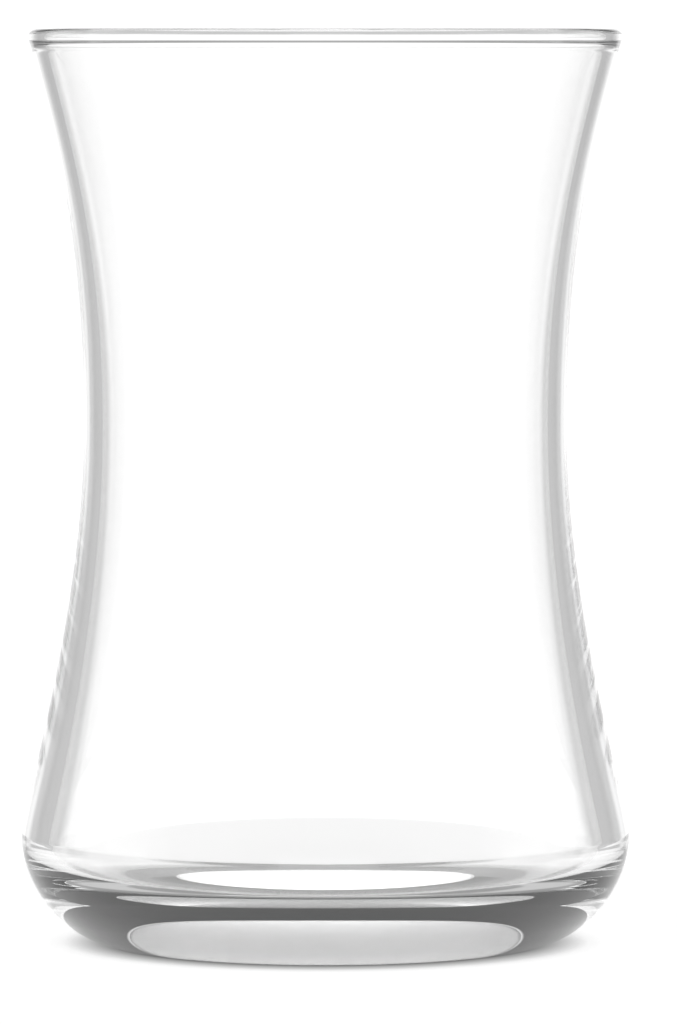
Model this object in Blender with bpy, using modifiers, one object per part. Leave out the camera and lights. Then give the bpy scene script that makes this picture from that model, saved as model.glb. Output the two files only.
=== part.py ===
"""A waisted tea glass in metres, +Z up, with its origin at the centre of the foot.

It is one piece of clear glass: a flared wall that draws in to a waist, a wide belly, a thick
base with rounded corners and a shallow hollow underneath, and a fire-polished bead at the rim.
The whole body is one profile, drawn as a chain of Bezier curves and arcs, and turned about +Z.
"""

import math

import bmesh
import bpy
import numpy as np

MM = 0.001

# Driving dimensions, in millimetres
HEIGHT = 90.0
BELLY_RADIUS, BELLY_HEIGHT = 29.97, 10.4
WAIST_RADIUS, WAIST_HEIGHT = 23.75, 51.3
RIM_RADIUS = 29.16
FOOT_RADIUS, FOOT_RING_WIDTH = 20.9, 5.6
FLOOR_HEIGHT = 5.4
PUNT_HEIGHT = 0.4

# Thickness of the glass, measured level, in millimetres
WALL_AT_RIM = 1.55
WALL_AT_WAIST = 1.82
WALL_AT_BELLY = 2.77

# Rim bead and flare
BEAD_RADIUS = 0.81
BEAD_OVERHANG_DEG = 25.0
RIM_SLOPE = 0.25
FLARE_LENGTH = 7.2

# How far each curve runs straight on from its end before it bends, in millimetres
OUTER_BELLY_PULL, OUTER_WAIST_PULL_DOWN, OUTER_WAIST_PULL_UP = 3.1, 18.5, 19.9
INNER_BELLY_PULL, INNER_WAIST_PULL_DOWN, INNER_WAIST_PULL_UP = 1.0, 20.0, 17.5
CORNER_PULL_OUT, CORNER_PULL_LIFT, CORNER_PULL_DOWN = 5.6, 0.5, 3.9
FLOOR_FLAT_RADIUS, FLOOR_PULL_OUT, FLOOR_PULL_DOWN = 13.5, 9.0, 3.2
PUNT_EDGE_PULL, PUNT_CROWN_PULL = 3.3, 7.7

# Facets round the axis
STEPS = 72


def bezier(start, start_pull, end_pull, end, count):
    """Points on a cubic Bezier curve, with both of its ends."""
    t = np.linspace(0.0, 1.0, count)[:, None]
    a, b, c, d = (np.array(p, float) for p in (start, start_pull, end_pull, end))
    return (1 - t) ** 3 * a + 3 * (1 - t) ** 2 * t * b + 3 * (1 - t) * t**2 * c + t**3 * d


def arc(centre, radius, start_deg, end_deg, count):
    """Points on a circular arc, with both of its ends."""
    angle = np.radians(np.linspace(start_deg, end_deg, count))
    return np.array(centre) + radius * np.stack([np.cos(angle), np.sin(angle)], axis=1)


def wall(belly, waist, rim, pulls, slope):
    """The line of one face of the wall from belly to rim: upright at belly and waist, flared at the rim."""
    belly_pull, waist_down, waist_up = pulls
    lower = bezier(belly, (belly[0], belly[1] + belly_pull), (waist[0], waist[1] - waist_down), waist, 8)
    flare = (rim[0] - FLARE_LENGTH * slope, rim[1] - FLARE_LENGTH)
    upper = bezier(waist, (waist[0], waist[1] + waist_up), flare, rim, 7)
    return np.vstack([lower, upper[1:]])


def bead_centre():
    """Middle of the rim bead's round section, over the middle of the wall."""
    return (RIM_RADIUS - WALL_AT_RIM / 2, HEIGHT - BEAD_RADIUS)


def wall_top(radius):
    """Where a face of the wall meets the underside of the bead, on the flare's slope."""
    drop = 1.2 * BEAD_RADIUS
    return (radius - drop * RIM_SLOPE, HEIGHT - BEAD_RADIUS - drop)


def cavity_floor():
    """From the middle of the floor out along it and round the corner to the inner belly."""
    edge = (FLOOR_FLAT_RADIUS, FLOOR_HEIGHT)
    belly = (BELLY_RADIUS - WALL_AT_BELLY, BELLY_HEIGHT)
    corner = bezier(
        edge,
        (edge[0] + FLOOR_PULL_OUT, edge[1]),
        (belly[0], belly[1] - FLOOR_PULL_DOWN),
        belly,
        8,
    )
    return np.vstack([[(0.0, FLOOR_HEIGHT), (FLOOR_FLAT_RADIUS / 2, FLOOR_HEIGHT)], corner])


def inner_wall():
    """Up the inner face, from belly to bead."""
    return wall(
        (BELLY_RADIUS - WALL_AT_BELLY, BELLY_HEIGHT),
        (WAIST_RADIUS - WALL_AT_WAIST, WAIST_HEIGHT),
        wall_top(RIM_RADIUS - WALL_AT_RIM),
        (INNER_BELLY_PULL, INNER_WAIST_PULL_DOWN, INNER_WAIST_PULL_UP),
        RIM_SLOPE,
    )


def rim_bead():
    """Over the rim from the inner face to the outer one, a little past the wall on both sides."""
    return arc(bead_centre(), BEAD_RADIUS, 180.0 + BEAD_OVERHANG_DEG, -BEAD_OVERHANG_DEG, 9)


def outer_wall():
    """Down the outer face, from bead to belly."""
    return wall(
        (BELLY_RADIUS, BELLY_HEIGHT),
        (WAIST_RADIUS, WAIST_HEIGHT),
        wall_top(RIM_RADIUS),
        (OUTER_BELLY_PULL, OUTER_WAIST_PULL_DOWN, OUTER_WAIST_PULL_UP),
        RIM_SLOPE,
    )[::-1]


def base_corner():
    """From the belly down and in to the outer edge of the foot ring."""
    return bezier(
        (BELLY_RADIUS, BELLY_HEIGHT),
        (BELLY_RADIUS, BELLY_HEIGHT - CORNER_PULL_DOWN),
        (FOOT_RADIUS + CORNER_PULL_OUT, CORNER_PULL_LIFT),
        (FOOT_RADIUS, 0.0),
        9,
    )


def punt():
    """From the inner edge of the foot ring up to the middle of the hollow underneath."""
    ring_inner = FOOT_RADIUS - FOOT_RING_WIDTH
    return bezier(
        (ring_inner, 0.0),
        (ring_inner - PUNT_EDGE_PULL, PUNT_HEIGHT / 2),
        (PUNT_CROWN_PULL, PUNT_HEIGHT),
        (0.0, PUNT_HEIGHT),
        6,
    )


def body_profile():
    """The closed body's profile in metres, from the middle of the cavity floor to the middle of the underside."""
    stretches = [cavity_floor(), inner_wall()[1:], rim_bead(), outer_wall(), base_corner()[1:], punt()]
    return np.vstack(stretches) * MM


def glass_material():
    """Clear, colourless soda-lime glass."""
    material = bpy.data.materials.new("clear_glass")
    material.use_nodes = True
    shader = material.node_tree.nodes["Principled BSDF"]
    shader.inputs["Base Color"].default_value = (0.95, 0.97, 0.97, 1.0)
    shader.inputs["Metallic"].default_value = 0.0
    shader.inputs["Roughness"].default_value = 0.02
    shader.inputs["IOR"].default_value = 1.52
    shader.inputs["Transmission Weight"].default_value = 1.0
    return material


def turned_body(name, profile, material, collection):
    """One object whose profile, in the XZ plane, is turned about +Z by a Screw modifier."""
    shape = bmesh.new()
    line = [shape.verts.new((r, 0.0, z)) for r, z in profile]
    for first, second in zip(line, line[1:]):
        shape.edges.new((first, second))
    mesh = bpy.data.meshes.new(name)
    shape.to_mesh(mesh)
    shape.free()
    body = bpy.data.objects.new(name, mesh)
    body.data.materials.append(material)
    collection.objects.link(body)
    turn = body.modifiers.new("Turn", "SCREW")
    turn.axis = "Z"
    turn.angle = math.tau
    turn.steps = STEPS
    turn.render_steps = STEPS
    turn.use_merge_vertices = True
    turn.merge_threshold = 0.00001
    turn.use_smooth_shade = True
    return body


def clear_scene():
    """Remove every object that the scene starts with."""
    for obj in list(bpy.data.objects):
        bpy.data.objects.remove(obj, do_unlink=True)


def main():
    clear_scene()
    collection = bpy.data.collections.new("tea_glass")
    bpy.context.scene.collection.children.link(collection)
    turned_body("glass_body", body_profile(), glass_material(), collection)


main()
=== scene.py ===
"""Looks of a waisted tea glass: its turned body in clear glass, on a pale floor in soft studio light.

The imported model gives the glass's place, height and widest radius, and the sizes named here give
the rest. The outside is the same as the solid's. The cavity's floor is 0.4 mm lower than the
solid's, and the corner round it is a little tighter. Lengths are in metres, unless a comment or a
name says otherwise.
"""

import logging
import math
from dataclasses import dataclass
from enum import Enum

import bpy
import numpy as np
from numpy.typing import NDArray
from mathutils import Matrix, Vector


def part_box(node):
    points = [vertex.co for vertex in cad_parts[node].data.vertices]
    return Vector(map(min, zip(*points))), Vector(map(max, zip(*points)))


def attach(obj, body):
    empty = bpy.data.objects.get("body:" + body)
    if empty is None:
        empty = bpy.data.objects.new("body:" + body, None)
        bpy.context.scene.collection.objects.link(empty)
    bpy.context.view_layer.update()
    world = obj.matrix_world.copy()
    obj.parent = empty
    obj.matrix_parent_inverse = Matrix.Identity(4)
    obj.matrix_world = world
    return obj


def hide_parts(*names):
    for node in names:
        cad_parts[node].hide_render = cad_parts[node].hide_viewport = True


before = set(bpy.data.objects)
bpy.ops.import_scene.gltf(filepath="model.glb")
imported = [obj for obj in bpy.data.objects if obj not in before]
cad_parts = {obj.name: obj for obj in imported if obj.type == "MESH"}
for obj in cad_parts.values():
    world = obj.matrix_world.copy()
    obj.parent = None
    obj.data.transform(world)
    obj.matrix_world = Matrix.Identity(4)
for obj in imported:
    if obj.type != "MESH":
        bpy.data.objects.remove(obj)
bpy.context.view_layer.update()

MM = 0.001
NODE = "glass_body"

# The photograph's size in pixels
PHOTO_WIDTH, PHOTO_HEIGHT = 677, 1024

# How many surfaces a ray of light may pass or bounce off
LIGHT_BOUNCES = 32

Points = NDArray[np.float64]
Pair = tuple[float, float]
Colour = tuple[float, float, float, float]
Stops = tuple[Pair, ...]
Node = bpy.types.Node
Socket = bpy.types.NodeSocket

log = logging.getLogger("tea_glass")


def bezier(start: Pair, start_pull: Pair, end_pull: Pair, end: Pair, count: int) -> Points:
    """Points on a cubic Bezier curve in the plane of radius and height.

    Each point is the sum of the four corners, weighted by the Bernstein cubics of a parameter
    that runs evenly from 0 to 1.

    Args:
        start: First end, as radius and height.
        start_pull: Corner that the curve leaves the first end towards.
        end_pull: Corner that the curve reaches the last end from.
        end: Last end.
        count: How many points, with both ends.

    Returns:
        An array of count rows of radius and height.
    """
    t = np.linspace(0.0, 1.0, count)[:, None]
    a, b, c, d = (np.array(corner) for corner in (start, start_pull, end_pull, end))
    return (1 - t) ** 3 * a + 3 * (1 - t) ** 2 * t * b + 3 * (1 - t) * t**2 * c + t**3 * d


def arc(centre: Pair, radius: float, start_deg: float, end_deg: float, count: int) -> Points:
    """Points on a circular arc: the centre plus the radius times the cosine and sine of the angle.

    Args:
        centre: Centre of the circle, as radius and height.
        radius: Radius of the circle.
        start_deg: Angle of the first point, from the outward level direction, in degrees.
        end_deg: Angle of the last point, in degrees.
        count: How many points, with both ends.

    Returns:
        An array of count rows of radius and height.
    """
    angle = np.radians(np.linspace(start_deg, end_deg, count))
    return np.array(centre) + radius * np.stack([np.cos(angle), np.sin(angle)], axis=1)


class Face(Enum):
    """The two faces of the wall."""

    INNER = "inner"
    OUTER = "outer"


@dataclass(frozen=True)
class Pulls:
    """How far a face of the wall runs straight on, upright, before it bends."""

    belly_up: float
    waist_down: float
    waist_up: float


@dataclass(frozen=True)
class Rows:
    """How many points each stretch of the section has, with both of its ends."""

    floor: int = 5
    floor_corner: int = 24
    lower_wall: int = 80
    upper_wall: int = 70
    bead: int = 25
    base_corner: int = 28
    punt: int = 14


class Tree:
    """A shader's nodes and links, with shorthand for linked nodes, calculations and ramps."""

    def __init__(self, node_tree: bpy.types.NodeTree) -> None:
        """Take the nodes and links of a material or of the world.

        Args:
            node_tree: What holds them.
        """
        self.nodes = node_tree.nodes
        self.links = node_tree.links

    def add(self, kind: str, **inputs: Socket) -> Node:
        """Add a node and link its inputs.

        Args:
            kind: The node's type name.
            inputs: The socket that feeds each named input.

        Returns:
            The new node.
        """
        node = self.nodes.new(kind)
        for name, socket in inputs.items():
            self.links.new(socket, node.inputs[name])
        return node

    def calculate(self, operation: str, first: Socket) -> Node:
        """Add a calculation and link its first value.

        Args:
            operation: The calculation's type name.
            first: The socket with the first value.

        Returns:
            The new node. Its second value, where it has one, is still to be set or linked.
        """
        node = self.nodes.new("ShaderNodeMath")
        node.operation = operation
        self.links.new(first, node.inputs[0])
        return node

    def ramp(self, along: Socket, stops: Stops) -> Socket:
        """A grey that follows a value: straight lines between the stops.

        Args:
            along: The value that the grey follows, between the first stop and the last.
            stops: Value and grey at each stop, in rising order.

        Returns:
            The socket with the grey.
        """
        low, high = stops[0][0], stops[-1][0]
        scale = self.add("ShaderNodeMapRange", Value=along)
        scale.inputs["From Min"].default_value = low
        scale.inputs["From Max"].default_value = high
        ramp = self.add("ShaderNodeValToRGB", Fac=scale.outputs["Result"])
        places = [(value - low) / (high - low) for value, _ in stops]
        elements = ramp.color_ramp.elements
        elements[0].position, elements[1].position = places[0], places[-1]
        for place in places[1:-1]:
            elements.new(place)
        for element, (_, grey) in zip(elements, stops):
            element.color = (grey, grey, grey, 1.0)
        return ramp.outputs["Color"]


@dataclass(frozen=True)
class ClearGlass:
    """Clear, colourless, fire-polished glass, matt in the pressed hollow underneath.

    It is matt below matt_top and inside matt_radius, and the matt fades out within matt_edge on
    each side of that radius. The ripple is a slow unevenness of the polished faces.
    """

    name: str = "clear_glass"
    tint: Colour = (1.0, 1.0, 1.0, 1.0)
    ior: float = 1.52
    matt_roughness: float = 0.5
    matt_radius: float = 15.0 * MM
    matt_edge: float = 0.3 * MM
    matt_top: float = 0.8 * MM
    ripples_per_metre: float = 45.0
    ripple_strength: float = 0.02
    ripple_depth: float = 0.05 * MM
    body_tint: Colour = (0.90, 0.93, 0.92, 1.0)
    body_density: float = 1.5

    def matt_hollow(self, tree: Tree, place: Node) -> Socket:
        """Roughness that is set inside the matt radius and under the matt top, and nil elsewhere.

        Args:
            tree: The material's nodes and links.
            place: The node that gives the Object coordinates.

        Returns:
            The socket with the roughness.
        """
        split = tree.add("ShaderNodeSeparateXYZ", Vector=place.outputs["Object"])
        level = tree.add("ShaderNodeCombineXYZ", X=split.outputs["X"], Y=split.outputs["Y"])
        radius = tree.add("ShaderNodeVectorMath", Vector=level.outputs["Vector"])
        radius.operation = "LENGTH"
        inside = tree.add("ShaderNodeMapRange", Value=radius.outputs["Value"])
        inside.inputs["From Min"].default_value = self.matt_radius - self.matt_edge
        inside.inputs["From Max"].default_value = self.matt_radius + self.matt_edge
        inside.inputs["To Min"].default_value = self.matt_roughness
        inside.inputs["To Max"].default_value = 0.0
        under = tree.calculate("LESS_THAN", split.outputs["Z"])
        under.inputs[1].default_value = self.matt_top
        both = tree.calculate("MULTIPLY", inside.outputs["Result"])
        tree.links.new(under.outputs["Value"], both.inputs[1])
        return both.outputs["Value"]

    def material(self) -> bpy.types.Material:
        """Build the shader: a smooth dielectric with its matt hollow, faint ripple and body tint.

        Returns:
            The material, reading Object coordinates only.
        """
        material = bpy.data.materials.new(self.name)
        material.use_nodes = True
        tree = Tree(material.node_tree)
        shader = tree.nodes["Principled BSDF"]
        shader.inputs["Base Color"].default_value = self.tint
        shader.inputs["Transmission Weight"].default_value = 1.0
        shader.inputs["IOR"].default_value = self.ior
        place = tree.add("ShaderNodeTexCoord")
        tree.links.new(self.matt_hollow(tree, place), shader.inputs["Roughness"])
        ripple = tree.add("ShaderNodeTexNoise", Vector=place.outputs["Object"])
        ripple.inputs["Scale"].default_value = self.ripples_per_metre
        ripple.inputs["Detail"].default_value = 0.0
        bump = tree.add("ShaderNodeBump", Height=ripple.outputs["Fac"])
        bump.inputs["Strength"].default_value = self.ripple_strength
        bump.inputs["Distance"].default_value = self.ripple_depth
        tree.links.new(bump.outputs["Normal"], shader.inputs["Normal"])
        body = tree.add("ShaderNodeVolumeAbsorption")
        body.inputs["Color"].default_value = self.body_tint
        body.inputs["Density"].default_value = self.body_density
        tree.links.new(body.outputs["Volume"], tree.nodes["Material Output"].inputs["Volume"])
        return material


@dataclass
class GlassBody:
    """The whole glass: one section turned about +Z, as fine as the render needs.

    The wall's sizes are measured level. A pull is how far a curve runs straight on from its end
    before it bends: out and down for a corner, in and out for the hollow underneath. The wall's
    faces end below the middle of the rim bead, by bead_reach times its radius.
    """

    height: float
    belly_radius: float
    belly_height: float = 10.4 * MM
    waist_radius: float = 23.75 * MM
    waist_height: float = 51.3 * MM
    rim_radius: float = 29.16 * MM
    foot_radius: float = 20.9 * MM
    foot_ring_width: float = 5.6 * MM
    floor_height: float = 5.0 * MM
    floor_flat_radius: float = 13.5 * MM
    punt_height: float = 0.4 * MM
    wall_at_rim: float = 1.55 * MM
    wall_at_waist: float = 1.82 * MM
    wall_at_belly: float = 2.77 * MM
    bead_radius: float = 0.81 * MM
    bead_overhang_deg: float = 25.0
    bead_reach: float = 1.2
    rim_slope: float = 0.25
    flare_length: float = 7.2 * MM
    outer_pulls: Pulls = Pulls(belly_up=3.1 * MM, waist_down=18.5 * MM, waist_up=19.9 * MM)
    inner_pulls: Pulls = Pulls(belly_up=1.0 * MM, waist_down=20.0 * MM, waist_up=17.5 * MM)
    corner_pull: Pair = (5.6 * MM, 3.9 * MM)
    corner_lift: float = 0.5 * MM
    floor_pull: Pair = (9.6 * MM, 3.6 * MM)
    punt_pull: Pair = (3.3 * MM, 7.7 * MM)
    rows: Rows = Rows()
    facets: int = 240
    glass: ClearGlass = ClearGlass()

    def belly(self, face: Face) -> Pair:
        """Widest point of a face of the wall.

        Args:
            face: Which face of the wall.

        Returns:
            Its radius and height.
        """
        wall = self.wall_at_belly if face is Face.INNER else 0.0
        return (self.belly_radius - wall, self.belly_height)

    def waist(self, face: Face) -> Pair:
        """Narrowest point of a face of the wall.

        Args:
            face: Which face of the wall.

        Returns:
            Its radius and height.
        """
        wall = self.wall_at_waist if face is Face.INNER else 0.0
        return (self.waist_radius - wall, self.waist_height)

    def wall_top(self, face: Face) -> Pair:
        """Where a face of the wall meets the underside of the rim bead, on the flare's slope.

        Args:
            face: Which face of the wall.

        Returns:
            Its radius and height.
        """
        wall = self.wall_at_rim if face is Face.INNER else 0.0
        drop = self.bead_reach * self.bead_radius
        radius = self.rim_radius - wall - drop * self.rim_slope
        return (radius, self.height - self.bead_radius - drop)

    def wall_line(self, face: Face) -> Points:
        """A face of the wall from belly to bead: two Bezier curves, upright at belly and waist.

        Args:
            face: Which face of the wall.

        Returns:
            Rows of radius and height, from the belly up.
        """
        pulls = self.inner_pulls if face is Face.INNER else self.outer_pulls
        belly, waist, top = self.belly(face), self.waist(face), self.wall_top(face)
        low_pull = (belly[0], belly[1] + pulls.belly_up)
        down_pull = (waist[0], waist[1] - pulls.waist_down)
        up_pull = (waist[0], waist[1] + pulls.waist_up)
        flare = (top[0] - self.flare_length * self.rim_slope, top[1] - self.flare_length)
        lower = bezier(belly, low_pull, down_pull, waist, self.rows.lower_wall)
        upper = bezier(waist, up_pull, flare, top, self.rows.upper_wall)
        return np.vstack([lower, upper[1:]])

    def cavity_floor(self) -> Points:
        """The floor of the cavity from its middle, level, then a Bezier corner up to the belly.

        Returns:
            Rows of radius and height, from the axis out.
        """
        level = np.linspace(0.0, self.floor_flat_radius, self.rows.floor)[:-1]
        flat = np.stack([level, np.full(len(level), self.floor_height)], axis=1)
        edge = (self.floor_flat_radius, self.floor_height)
        belly = self.belly(Face.INNER)
        edge_pull = (edge[0] + self.floor_pull[0], edge[1])
        belly_pull = (belly[0], belly[1] - self.floor_pull[1])
        corner = bezier(edge, edge_pull, belly_pull, belly, self.rows.floor_corner)
        return np.vstack([flat, corner])

    def rim_bead(self) -> Points:
        """The round bead over the rim, an arc carried a little past the wall on both sides.

        Returns:
            Rows of radius and height, from the inner face over to the outer one.
        """
        centre = (self.rim_radius - self.wall_at_rim / 2, self.height - self.bead_radius)
        overhang = self.bead_overhang_deg
        return arc(centre, self.bead_radius, 180.0 + overhang, -overhang, self.rows.bead)

    def base_corner(self) -> Points:
        """The rounded corner of the base, one Bezier curve from the belly in to the foot ring.

        Returns:
            Rows of radius and height, from the belly down.
        """
        belly = self.belly(Face.OUTER)
        belly_pull = (belly[0], belly[1] - self.corner_pull[1])
        foot_pull = (self.foot_radius + self.corner_pull[0], self.corner_lift)
        return bezier(belly, belly_pull, foot_pull, (self.foot_radius, 0.0), self.rows.base_corner)

    def punt(self) -> Points:
        """The shallow hollow underneath, one Bezier curve from the foot ring in to its middle.

        Returns:
            Rows of radius and height, from the ring's inner edge to the axis.
        """
        ring = self.foot_radius - self.foot_ring_width
        edge_pull = (ring - self.punt_pull[0], self.punt_height / 2)
        crown_pull = (self.punt_pull[1], self.punt_height)
        crown = (0.0, self.punt_height)
        return bezier((ring, 0.0), edge_pull, crown_pull, crown, self.rows.punt)

    def profile(self) -> Points:
        """The whole section, its stretches end to end.

        Returns:
            Rows of radius and height, from the middle of the cavity's floor round to the middle
            of the underside.
        """
        return np.vstack([
            self.cavity_floor(),
            self.wall_line(Face.INNER)[1:],
            self.rim_bead(),
            self.wall_line(Face.OUTER)[::-1],
            self.base_corner()[1:],
            self.punt(),
        ])

    def grid(self) -> Points:
        """The turned surface as a grid: radius times cosine and sine of the turn, and height.

        Returns:
            An array of profile point by facet by x, y, z, without the two points on the axis.
        """
        section = self.profile()[1:-1]
        turn = np.linspace(0.0, math.tau, self.facets, endpoint=False)
        radius, height = section[:, :1], section[:, 1:]
        level = np.broadcast_to(height, (len(section), self.facets))
        return np.stack([radius * np.cos(turn), radius * np.sin(turn), level], axis=2)

    def faces(self, rings: int) -> list[list[int]]:
        """Four-sided faces from ring to ring and facet to facet, and a fan at each end on the axis.

        Args:
            rings: How many rings the grid has.

        Returns:
            The corners of each face. The two points on the axis come after the grid's points: the
            cavity floor's middle, then the underside's.
        """
        index = np.arange(rings * self.facets).reshape(rings, self.facets)
        ahead = np.roll(index, -1, axis=1)
        sides = np.stack([index[:-1], index[1:], ahead[1:], ahead[:-1]], axis=2).reshape(-1, 4)
        floor_middle = np.full(self.facets, rings * self.facets)
        floor_fan = np.stack([floor_middle, index[0], ahead[0]], axis=1)
        punt_fan = np.stack([index[-1], floor_middle + 1, ahead[-1]], axis=1)
        return [*sides.tolist(), *floor_fan.tolist(), *punt_fan.tolist()]

    def build(self) -> bpy.types.Object:
        """Make the turned section one closed mesh.

        Returns:
            The object at the origin, in clear glass.
        """
        grid = self.grid()
        ends = np.array([[0.0, 0.0, self.floor_height], [0.0, 0.0, self.punt_height]])
        points = np.vstack([grid.reshape(-1, 3), ends])
        mesh = bpy.data.meshes.new("clear_glass_body")
        mesh.from_pydata(points, [], self.faces(len(grid)))
        mesh.shade_smooth()
        mesh.materials.append(self.glass.material())
        body = bpy.data.objects.new("clear_glass_body", mesh)
        bpy.context.scene.collection.objects.link(body)
        return body

    def place(self) -> bpy.types.Object:
        """Build the body, let it ride on the frame and stand for the solid.

        Returns:
            The finished piece.
        """
        body = self.build()
        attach(body, "root")
        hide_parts(NODE)
        return body


@dataclass
class PaleFloor:
    """A round pale floor that glows, as a lit table top does, with painted shade under the foot ring.

    The stops give a grey at each distance from the axis, painted into both the floor's colour and its
    glow. It is a painted contact shade, dark where the ring rests and fading out round the foot.
    Inside the ring it is over 1, a painted brightening that makes up for what the matt hollow above
    it holds back. The floor is pressed a little way up against the ring, so that the glass and the
    floor touch.
    """

    radius: float = 0.08
    sides: int = 128
    colour: Colour = (0.3, 0.3, 0.3, 1.0)
    glow: float = 0.95
    pressed: float = 0.02 * MM
    # Painted contact shade under the foot ring and painted light inside it, by distance from the axis
    painted_shade_and_light: Stops = (
        (0.0, 1.9),
        (14.6 * MM, 1.9),
        (15.2 * MM, 0.07),
        (20.9 * MM, 0.08),
        (22.0 * MM, 0.3),
        (24.0 * MM, 0.6),
        (26.0 * MM, 0.92),
        (28.0 * MM, 1.0),
    )

    def material(self) -> bpy.types.Material:
        """A matt grey surface with a glow of its own, both in the measure of the painted shade and
        light.

        Returns:
            The material, reading Object coordinates only.
        """
        material = bpy.data.materials.new("pale_floor")
        material.use_nodes = True
        tree = Tree(material.node_tree)
        place = tree.add("ShaderNodeTexCoord")
        radius = tree.add("ShaderNodeVectorMath", Vector=place.outputs["Object"])
        radius.operation = "LENGTH"
        # The painted shade and light, read off the distance from the axis
        painted_shade_and_light = tree.ramp(radius.outputs["Value"], self.painted_shade_and_light)
        # The floor's grey times the painted shade and light
        colour = tree.add("ShaderNodeMixRGB", Color1=painted_shade_and_light)
        colour.blend_type = "MULTIPLY"
        colour.inputs["Fac"].default_value = 1.0
        colour.inputs["Color2"].default_value = self.colour
        shader = tree.nodes["Principled BSDF"]
        shader.inputs["Roughness"].default_value = 1.0
        shader.inputs["Specular IOR Level"].default_value = 0.0
        shader.inputs["Emission Strength"].default_value = self.glow
        tree.links.new(colour.outputs["Color"], shader.inputs["Base Color"])
        # The glow carries the same painted shade and light
        tree.links.new(painted_shade_and_light, shader.inputs["Emission Color"])
        return material

    def place(self) -> bpy.types.Object:
        """Lay the floor under the foot: a disc of points at the radius times cosine and sine.

        Returns:
            The floor.
        """
        turn = np.linspace(0.0, math.tau, self.sides, endpoint=False)
        edge = self.radius * np.stack([np.cos(turn), np.sin(turn), np.zeros(self.sides)], axis=1)
        mesh = bpy.data.meshes.new("floor")
        mesh.from_pydata(edge, [], [list(range(self.sides))])
        mesh.materials.append(self.material())
        floor = bpy.data.objects.new("floor", mesh)
        floor.location = (0.0, 0.0, self.pressed)
        bpy.context.scene.collection.objects.link(floor)
        return floor


@dataclass
class Surround:
    """The studio all round: bright soft panels with grey between them, under a grey ceiling.

    The panels stand evenly round the glass, and panel gives the light from the middle of one
    to halfway to the next. Above and below them the light is the same all round: even_light
    gives it at each height over the level, and even_share gives how much it takes the panels'
    place there. Every stop is an angle in degrees and a grey.
    """

    panels: int = 4
    panel: Stops = (
        (0.0, 1.2),
        (16.0, 1.2),
        (21.0, 0.52),
        (28.0, 0.46),
        (36.0, 0.56),
        (45.0, 0.58),
    )
    even_light: Stops = (
        (-90.0, 0.95),
        (-48.0, 0.95),
        (-34.0, 0.6),
        (12.0, 0.6),
        (20.0, 0.3),
        (90.0, 0.3),
    )
    even_share: Stops = (
        (-90.0, 1.0),
        (-20.0, 1.0),
        (-12.0, 0.0),
        (8.0, 0.0),
        (14.0, 1.0),
        (90.0, 1.0),
    )

    def from_panel(self, tree: Tree, split: Node) -> Socket:
        """Angle to the nearest panel's middle: the arc tangent of x over y, folded at half a pitch.

        Args:
            tree: The world's nodes and links.
            split: The node that gives a direction's x, y and z.

        Returns:
            The socket with the angle, in degrees.
        """
        turn = tree.calculate("ARCTAN2", split.outputs["X"])
        tree.links.new(split.outputs["Y"], turn.inputs[1])
        fold = tree.calculate("PINGPONG", turn.outputs["Value"])
        fold.inputs[1].default_value = math.pi / self.panels
        return self.in_degrees(tree, fold)

    def over_level(self, tree: Tree, split: Node) -> Socket:
        """Height over the level: the arc sine of z.

        Args:
            tree: The world's nodes and links.
            split: The node that gives a direction's x, y and z.

        Returns:
            The socket with the angle, in degrees.
        """
        return self.in_degrees(tree, tree.calculate("ARCSINE", split.outputs["Z"]))

    def in_degrees(self, tree: Tree, angle: Node) -> Socket:
        """An angle turned from radians to degrees.

        Args:
            tree: The world's nodes and links.
            angle: The node that gives the angle in radians.

        Returns:
            The socket with the angle, in degrees.
        """
        return tree.calculate("DEGREES", angle.outputs["Value"]).outputs["Value"]

    def place(self) -> bpy.types.World:
        """Build the world's shader: the panels' light mixed with the even light.

        Returns:
            The world, in use by the scene.
        """
        world = bpy.data.worlds.new("studio")
        bpy.context.scene.world = world
        world.use_nodes = True
        tree = Tree(world.node_tree)
        tree.nodes.clear()
        place = tree.add("ShaderNodeTexCoord")
        split = tree.add("ShaderNodeSeparateXYZ", Vector=place.outputs["Generated"])
        side = self.from_panel(tree, split)
        rise = self.over_level(tree, split)
        light = tree.add(
            "ShaderNodeMixRGB",
            Fac=tree.ramp(rise, self.even_share),
            Color1=tree.ramp(side, self.panel),
            Color2=tree.ramp(rise, self.even_light),
        )
        glow = tree.add("ShaderNodeBackground", Color=light.outputs["Color"])
        tree.add("ShaderNodeOutputWorld", Surface=glow.outputs["Background"])
        return world


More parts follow.
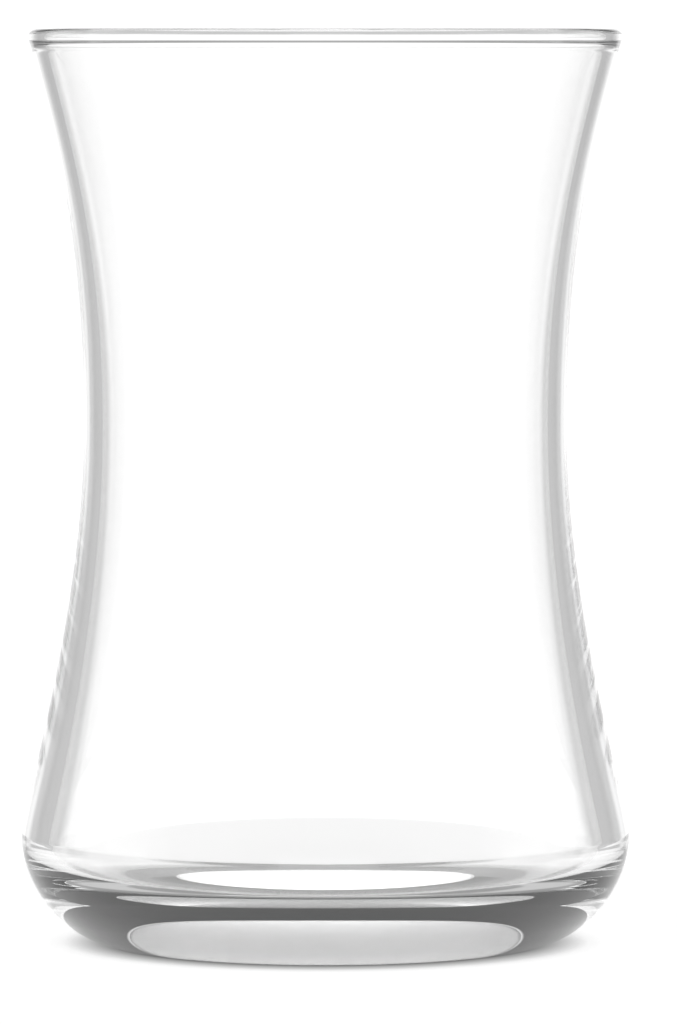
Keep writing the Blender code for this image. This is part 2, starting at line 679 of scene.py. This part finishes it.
@dataclass
class PhotoCamera:
    """The camera at the photograph's angle, just above the level of the rim.

    The glass's axis is at axis_column and the rim's top at rim_row, in pixels of the photograph,
    and pixel is a pixel's real size at the axis. The sensor's size is in millimetres.
    """

    height: float
    distance: float = 0.82
    rise_over_rim: float = 1.8 * MM
    axis_column: float = 325.3
    rim_row: float = 28.5
    pixel: float = 0.0983 * MM
    sensor: float = 36.0
    clip: Pair = (0.01, 50.0)

    def place(self) -> bpy.types.Object:
        """Stand the camera off along -Y and aim it at the photograph's centre.

        The centre's place beside the axis and under the rim follows from the pixel's size there.

        Returns:
            The camera.
        """
        data = bpy.data.cameras.new("camera")
        data.sensor_fit = "VERTICAL"
        data.sensor_height = self.sensor
        data.sensor_width = self.sensor
        data.lens = self.sensor * self.distance / (self.pixel * PHOTO_HEIGHT)
        data.clip_start, data.clip_end = self.clip
        across = (PHOTO_WIDTH / 2 - self.axis_column) * self.pixel
        middle = self.height - (PHOTO_HEIGHT / 2 - self.rim_row) * self.pixel
        camera = bpy.data.objects.new("camera", data)
        camera.location = (across, -self.distance, self.height + self.rise_over_rim)
        drop = camera.location.z - middle
        camera.rotation_euler = (math.pi / 2 - math.atan2(drop, self.distance), 0.0, 0.0)
        bpy.context.scene.collection.objects.link(camera)
        bpy.context.scene.camera = camera
        return camera


def set_light_paths() -> None:
    """Let light pass through every wall of the glass, and show plain whites as white."""
    scene = bpy.context.scene
    scene.view_settings.view_transform = "Standard"
    scene.cycles.max_bounces = LIGHT_BOUNCES
    scene.cycles.transmission_bounces = LIGHT_BOUNCES
    scene.cycles.glossy_bounces = LIGHT_BOUNCES


def main() -> None:
    """Build the glass, then the studio round it, and report each of them."""
    logging.basicConfig(level=logging.INFO, format="%(name)s: %(message)s")
    _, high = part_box(NODE)
    body = GlassBody(height=high[2], belly_radius=high[0]).place()
    log.info("%s: %d faces", body.name, len(body.data.polygons))
    floor = PaleFloor().place()
    log.info("%s: %d sides", floor.name, len(floor.data.vertices))
    world = Surround().place()
    log.info("%s: %d shader nodes", world.name, len(world.node_tree.nodes))
    camera = PhotoCamera(height=high[2]).place()
    log.info("%s: %.0f mm lens", camera.name, camera.data.lens)
    set_light_paths()


if __name__ == "__main__":
    main()
